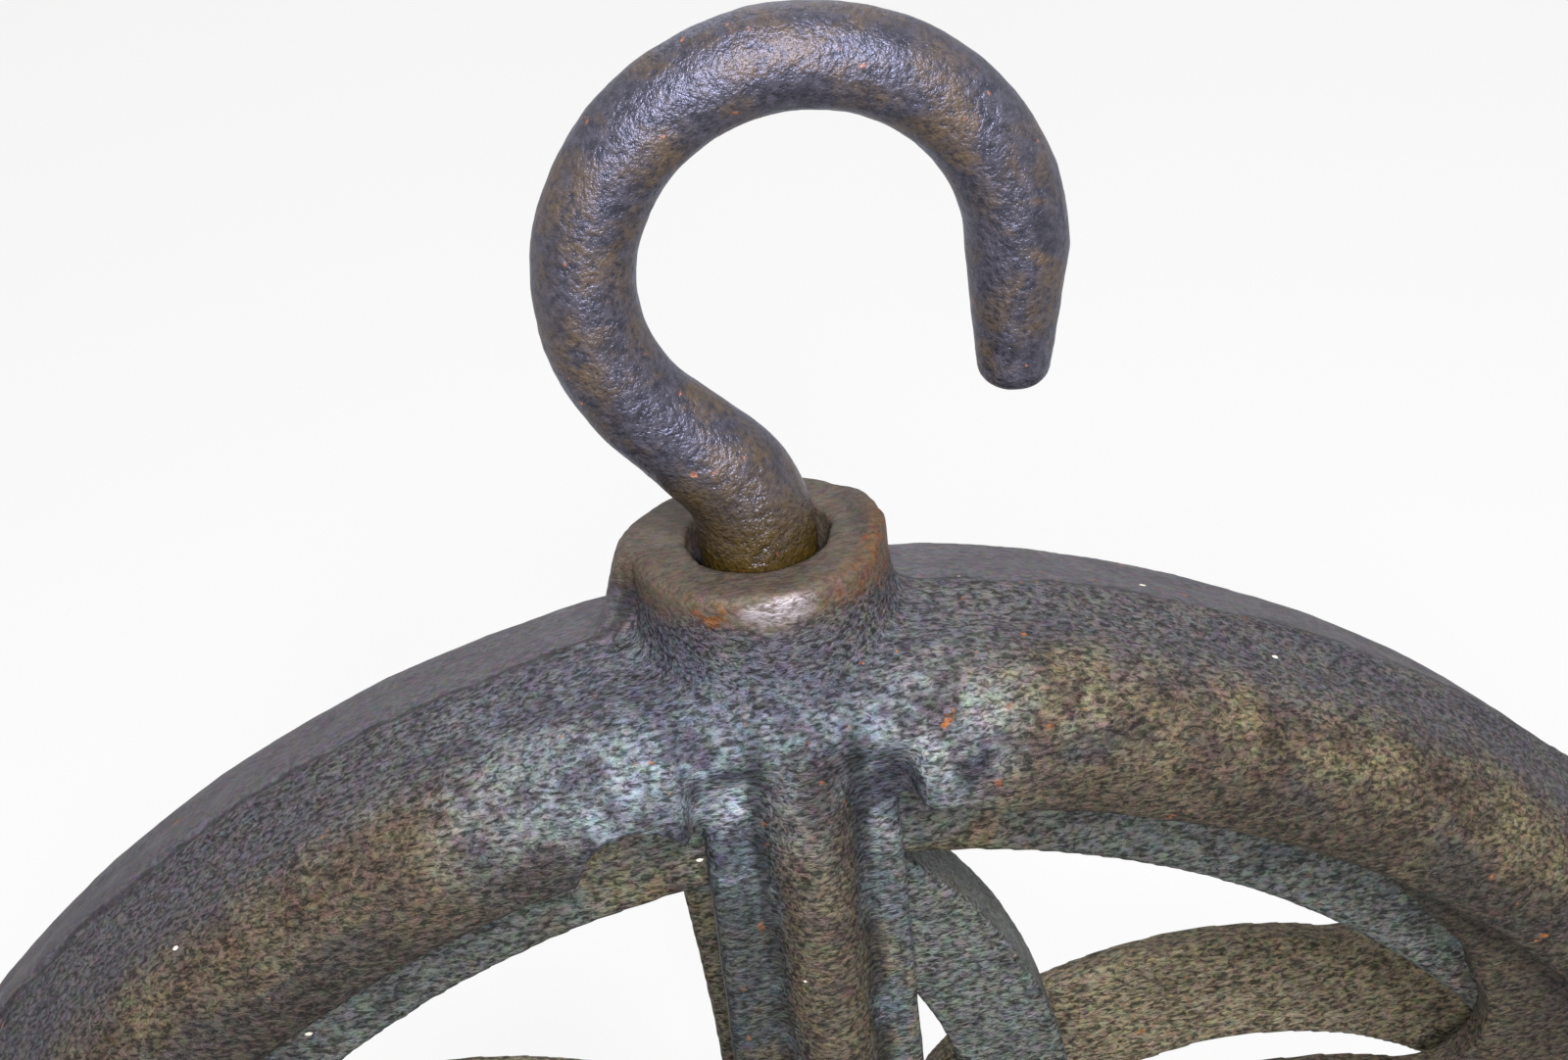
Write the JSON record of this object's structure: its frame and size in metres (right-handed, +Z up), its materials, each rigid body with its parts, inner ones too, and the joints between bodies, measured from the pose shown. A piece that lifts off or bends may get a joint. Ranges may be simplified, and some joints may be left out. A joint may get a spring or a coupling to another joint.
{
  "type": "hay pulley",
  "caption": "Hooded cast-iron hay pulley: grooved sheave with curved spokes on a plain axle, arms under a rounded hood, and an open swivel hook on top.",
  "frame": {"origin": "centre of the axle, midway between the frame's two sides", "axes": "+Z up through the swivel boss and hook, +Y along the axle towards the split pin, +X across the pulley in the sheave's plane"},
  "size_m": [0.2998, 0.0594, 0.3564],
  "materials": {
    "cast_frame": "bare aged casting, blue-grey and brown with thin rust",
    "cast_sheave": "bare aged casting, grey, rope-worn in the groove",
    "axle_steel": "plain steel, browned",
    "forged_hook": "forged bar, oiled dark with rust specks"
  },
  "bodies": {
    "hook": {"hook": "forged_hook", "hook_washer": "forged_hook"},
    "frame": {"frame": "cast_frame", "axle_pin": "axle_steel", "axle_washer": "axle_steel", "cotter_pin": "axle_steel"},
    "sheave": {"sheave": "cast_sheave"}
  },
  "joints": [
    {"name": "hook_swivel", "type": "hinge", "parent": "hook", "child": "frame", "pos_m": [0, 0, 0.15], "axis": [0, 0, 1], "continuous": true},
    {"name": "sheave_spin", "type": "hinge", "parent": "frame", "child": "sheave", "pos_m": [0, 0, 0], "axis": [0, 1, 0], "continuous": true}
  ]
}
